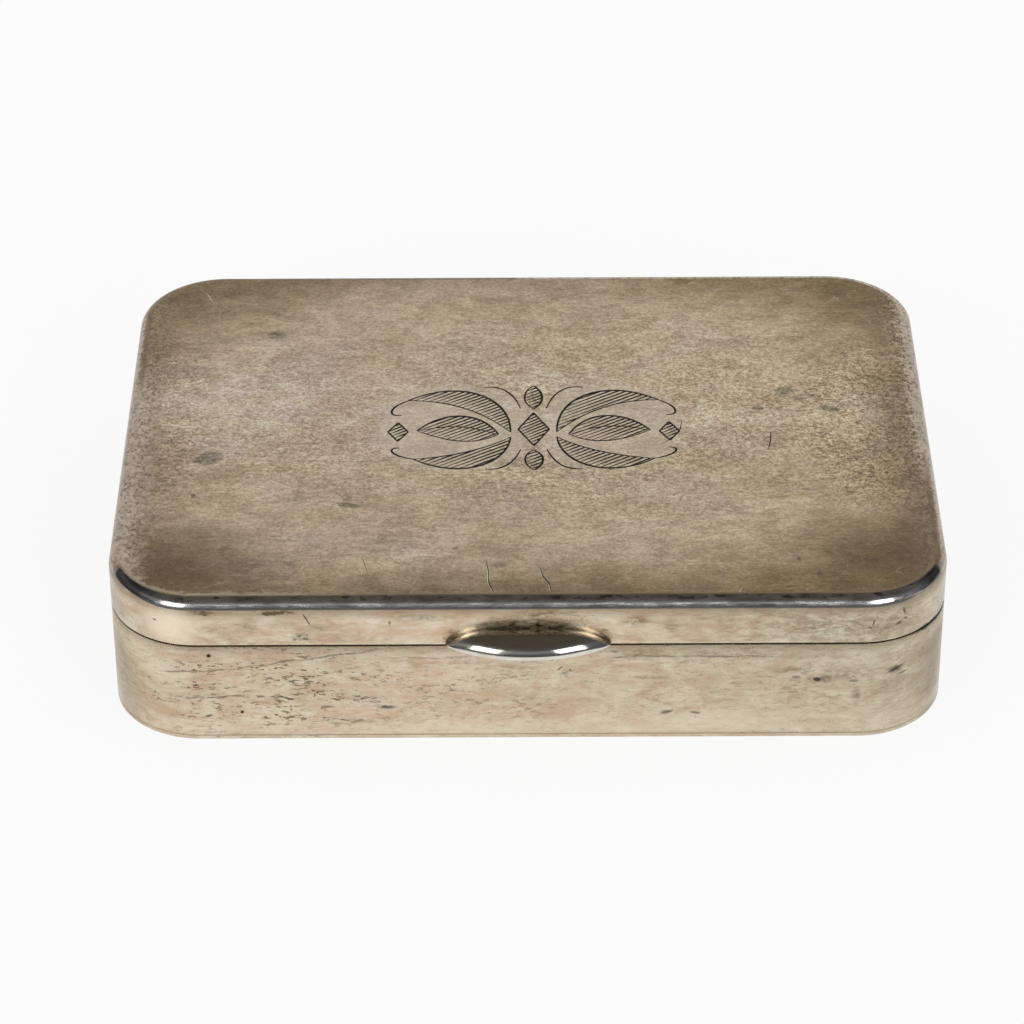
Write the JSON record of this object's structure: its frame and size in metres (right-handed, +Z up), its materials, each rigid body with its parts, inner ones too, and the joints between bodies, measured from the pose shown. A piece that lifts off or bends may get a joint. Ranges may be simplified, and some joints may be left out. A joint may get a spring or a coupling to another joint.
{
  "type": "hinged silver box",
  "caption": "Flat silver table box with round corners, a shallow lid on a long flush back hinge, and a crescent thumb piece over the seam.",
  "frame": {"origin": "centre of the underside of the base, where it rests", "axes": "+X along the back hinge, to the right seen from the front; +Y from the thumb piece to the hinge; +Z up through the lid"},
  "size_m": [0.08, 0.0621, 0.0162],
  "materials": {
    "worn_silver": "worn satin silver with fine pitting and tarnish in streaks",
    "tarnished_silver": "satin silver under a mottled brown-grey tarnish, with an engraved ornament",
    "polished_silver": "bright polished silver",
    "gilt_silver": "thin worn gilt wash over silver, inside only"
  },
  "bodies": {
    "base": {"base_plate": "worn_silver", "base_wall": "worn_silver", "base_inner_rim": "gilt_silver", "base_hinge_bearer": "gilt_silver", "base_knuckle_1": "worn_silver", "base_knuckle_2": "worn_silver", "base_knuckle_3": "worn_silver", "base_knuckle_4": "worn_silver", "base_knuckle_5": "worn_silver", "hinge_pin": "polished_silver", "hinge_end_cap_left": "worn_silver", "hinge_end_cap_right": "worn_silver"},
    "lid": {"lid_top": "tarnished_silver", "lid_wall": "worn_silver", "lid_hinge_bearer": "gilt_silver", "lid_knuckle_1": "worn_silver", "lid_knuckle_2": "worn_silver", "lid_knuckle_3": "worn_silver", "lid_knuckle_4": "worn_silver", "thumb_piece": "polished_silver"}
  },
  "joints": [
    {"name": "lid_hinge", "type": "hinge", "parent": "base", "child": "lid", "pos_m": [0, 0.02835, 0.0111], "axis": [-1, 0, 0], "range_deg": [0, 100]}
  ]
}
